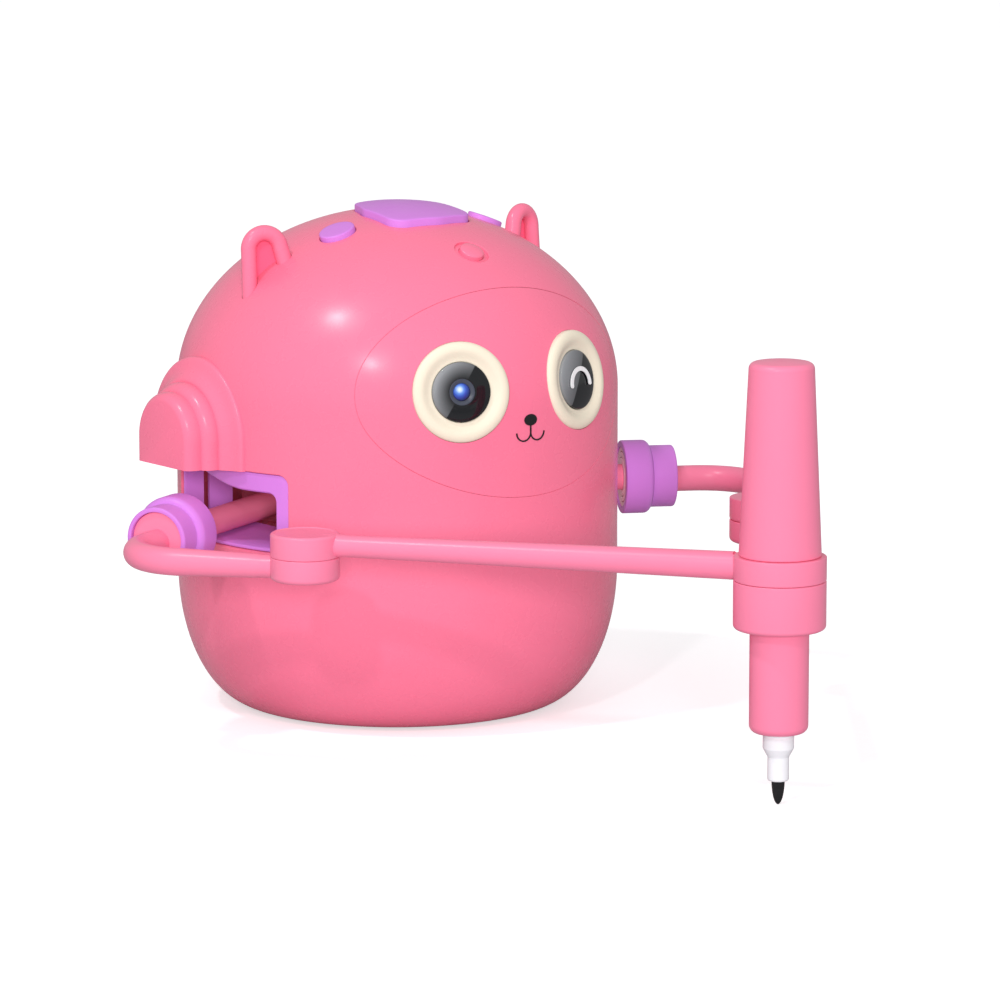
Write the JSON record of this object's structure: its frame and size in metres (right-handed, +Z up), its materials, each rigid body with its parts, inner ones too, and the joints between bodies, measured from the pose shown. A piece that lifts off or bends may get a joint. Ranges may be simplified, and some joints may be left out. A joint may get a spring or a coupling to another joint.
{
  "type": "desktop drawing robot with two linked arms",
  "caption": "Egg-shaped cat-faced desktop robot whose two jointed arms form a parallel linkage that carries and lifts a marker pen.",
  "frame": {"origin": "centre of the non-slip pad's underside, on the surface that the robot stands on", "axes": "+Z up; the face looks along -Y, and the pen is ahead of it on -Y; the robot's right side is -X"},
  "size_m": [0.242, 0.2735, 0.1601],
  "materials": {
    "pink_shell": "gloss",
    "pink_arm": "satin",
    "purple_trim": "satin",
    "cream_ring": "satin",
    "black_gloss": "mirror gloss",
    "lens": "coated glass look",
    "print_white": "printed",
    "print_black": "printed",
    "inner_plastic": "moulded",
    "rubber_pad": "matt",
    "steel": "brushed",
    "servo_case": "satin",
    "cell_wrap": "shrink film",
    "black_plastic": "moulded",
    "circuit_board": "solder mask",
    "marker_white": "satin",
    "marker_ink": "felt"
  },
  "bodies": {
    "body": {"body_shell": "pink_shell", "face_panel": "pink_shell", "rear_cover": "pink_shell", "case_screws": "steel", "base_plate": "inner_plastic", "non_slip_pad": "rubber_pad", "right_eye_ring": "cream_ring", "left_eye_ring": "cream_ring", "camera_window": "black_gloss", "camera_lens": "lens", "camera_module": "circuit_board", "wink_disc": "black_gloss", "wink_mark": "print_white", "nose_and_mouth": "print_black", "right_ear": "pink_shell", "left_ear": "pink_shell", "right_hood": "pink_shell", "left_hood": "pink_shell", "right_slot_bezel": "purple_trim", "left_slot_bezel": "purple_trim", "inner_frame": "inner_plastic", "guide_posts": "steel", "post_bridge": "inner_plastic", "lift_servo": "servo_case", "battery_cell": "cell_wrap", "battery_holder": "black_plastic", "main_board": "circuit_board", "button_board": "circuit_board", "speaker": "black_plastic", "charging_socket": "steel", "switch_body": "steel"},
    "power_slider": {"power_slider": "purple_trim"},
    "main_button": {"main_button": "purple_trim"},
    "right_toe_button": {"right_toe_button": "purple_trim"},
    "left_toe_button": {"left_toe_button": "purple_trim"},
    "forehead_button": {"forehead_button": "pink_shell"},
    "arm_carriage": {"arm_carriage": "inner_plastic", "lift_rack": "inner_plastic", "right_shoulder_servo": "servo_case", "left_shoulder_servo": "servo_case"},
    "lift_pinion": {"lift_pinion": "inner_plastic"},
    "right_upper_arm": {"right_drive_shaft": "steel", "right_inner_arm": "pink_arm", "right_outer_arm": "pink_arm", "right_cuff": "purple_trim", "right_elbow_pin": "steel"},
    "left_upper_arm": {"left_drive_shaft": "steel", "left_inner_arm": "pink_arm", "left_outer_arm": "pink_arm", "left_cuff": "purple_trim", "left_elbow_pin": "steel"},
    "right_forearm": {"right_forearm": "pink_arm"},
    "left_forearm": {"left_forearm": "pink_arm"},
    "pen_unit": {"pen_sleeve": "pink_arm", "pen_cap": "pink_arm", "marker_barrel": "marker_white", "marker_nose": "marker_white", "marker_tip": "marker_ink"}
  },
  "joints": [
    {"name": "pen_lift", "type": "slide", "parent": "body", "child": "arm_carriage", "axis": [0, 0, 1], "range_m": [0, 0.007]},
    {"name": "lift_pinion_turn", "type": "hinge", "parent": "body", "child": "lift_pinion", "pos_m": [0.029, 0.0495, 0.04], "axis": [0, 1, 0], "range_deg": [0, 67]},
    {"name": "arm_swing", "type": "hinge", "parent": "arm_carriage", "child": "right_upper_arm", "pos_m": [0, 0.0392, 0.0631], "axis": [0, 0, 1], "range_deg": [-5, 5]},
    {"name": "arm_spread", "type": "hinge", "parent": "right_upper_arm", "child": "left_upper_arm", "pos_m": [0, 0.0392, 0.0631], "axis": [0, 0, 1], "range_deg": [-7.5, 5]},
    {"name": "right_elbow", "type": "hinge", "parent": "right_upper_arm", "child": "right_forearm", "pos_m": [-0.08823, -0.07537, 0.0703], "axis": [0, 0, 1], "range_deg": [-7.6, 5.1]},
    {"name": "left_elbow", "type": "hinge", "parent": "left_upper_arm", "child": "left_forearm", "pos_m": [0.08823, -0.07537, 0.0559], "axis": [0, 0, 1], "range_deg": [-5.1, 7.6]},
    {"name": "pen_lift_out", "type": "slide", "parent": "right_forearm", "child": "pen_unit", "axis": [0, 0, 1], "range_m": [0, 0.08]},
    {"name": "main_button_press", "type": "slide", "parent": "body", "child": "main_button", "axis": [0, 0, -1], "range_m": [0, 0.0015], "stiffness_N_per_m": 300, "springref_m": -0.003},
    {"name": "right_toe_press", "type": "slide", "parent": "body", "child": "right_toe_button", "axis": [0.3404, 0, -0.9403], "range_m": [0, 0.001], "stiffness_N_per_m": 300, "springref_m": -0.003},
    {"name": "left_toe_press", "type": "slide", "parent": "body", "child": "left_toe_button", "axis": [-0.3404, 0, -0.9403], "range_m": [0, 0.001], "stiffness_N_per_m": 300, "springref_m": -0.003},
    {"name": "forehead_press", "type": "slide", "parent": "body", "child": "forehead_button", "axis": [0, 0.4863, -0.8738], "range_m": [0, 0.0008], "stiffness_N_per_m": 300, "springref_m": -0.003},
    {"name": "power_slide", "type": "slide", "parent": "body", "child": "power_slider", "axis": [1, 0, 0], "range_m": [0, 0.004]}
  ],
  "couplings": [
    {"joint": "lift_pinion_turn", "follows": "pen_lift", "rad_per_m": 166.67},
    {"joint": "right_elbow", "follows": "arm_spread", "ratio": 1},
    {"joint": "left_elbow", "follows": "arm_spread", "ratio": -1}
  ]
}
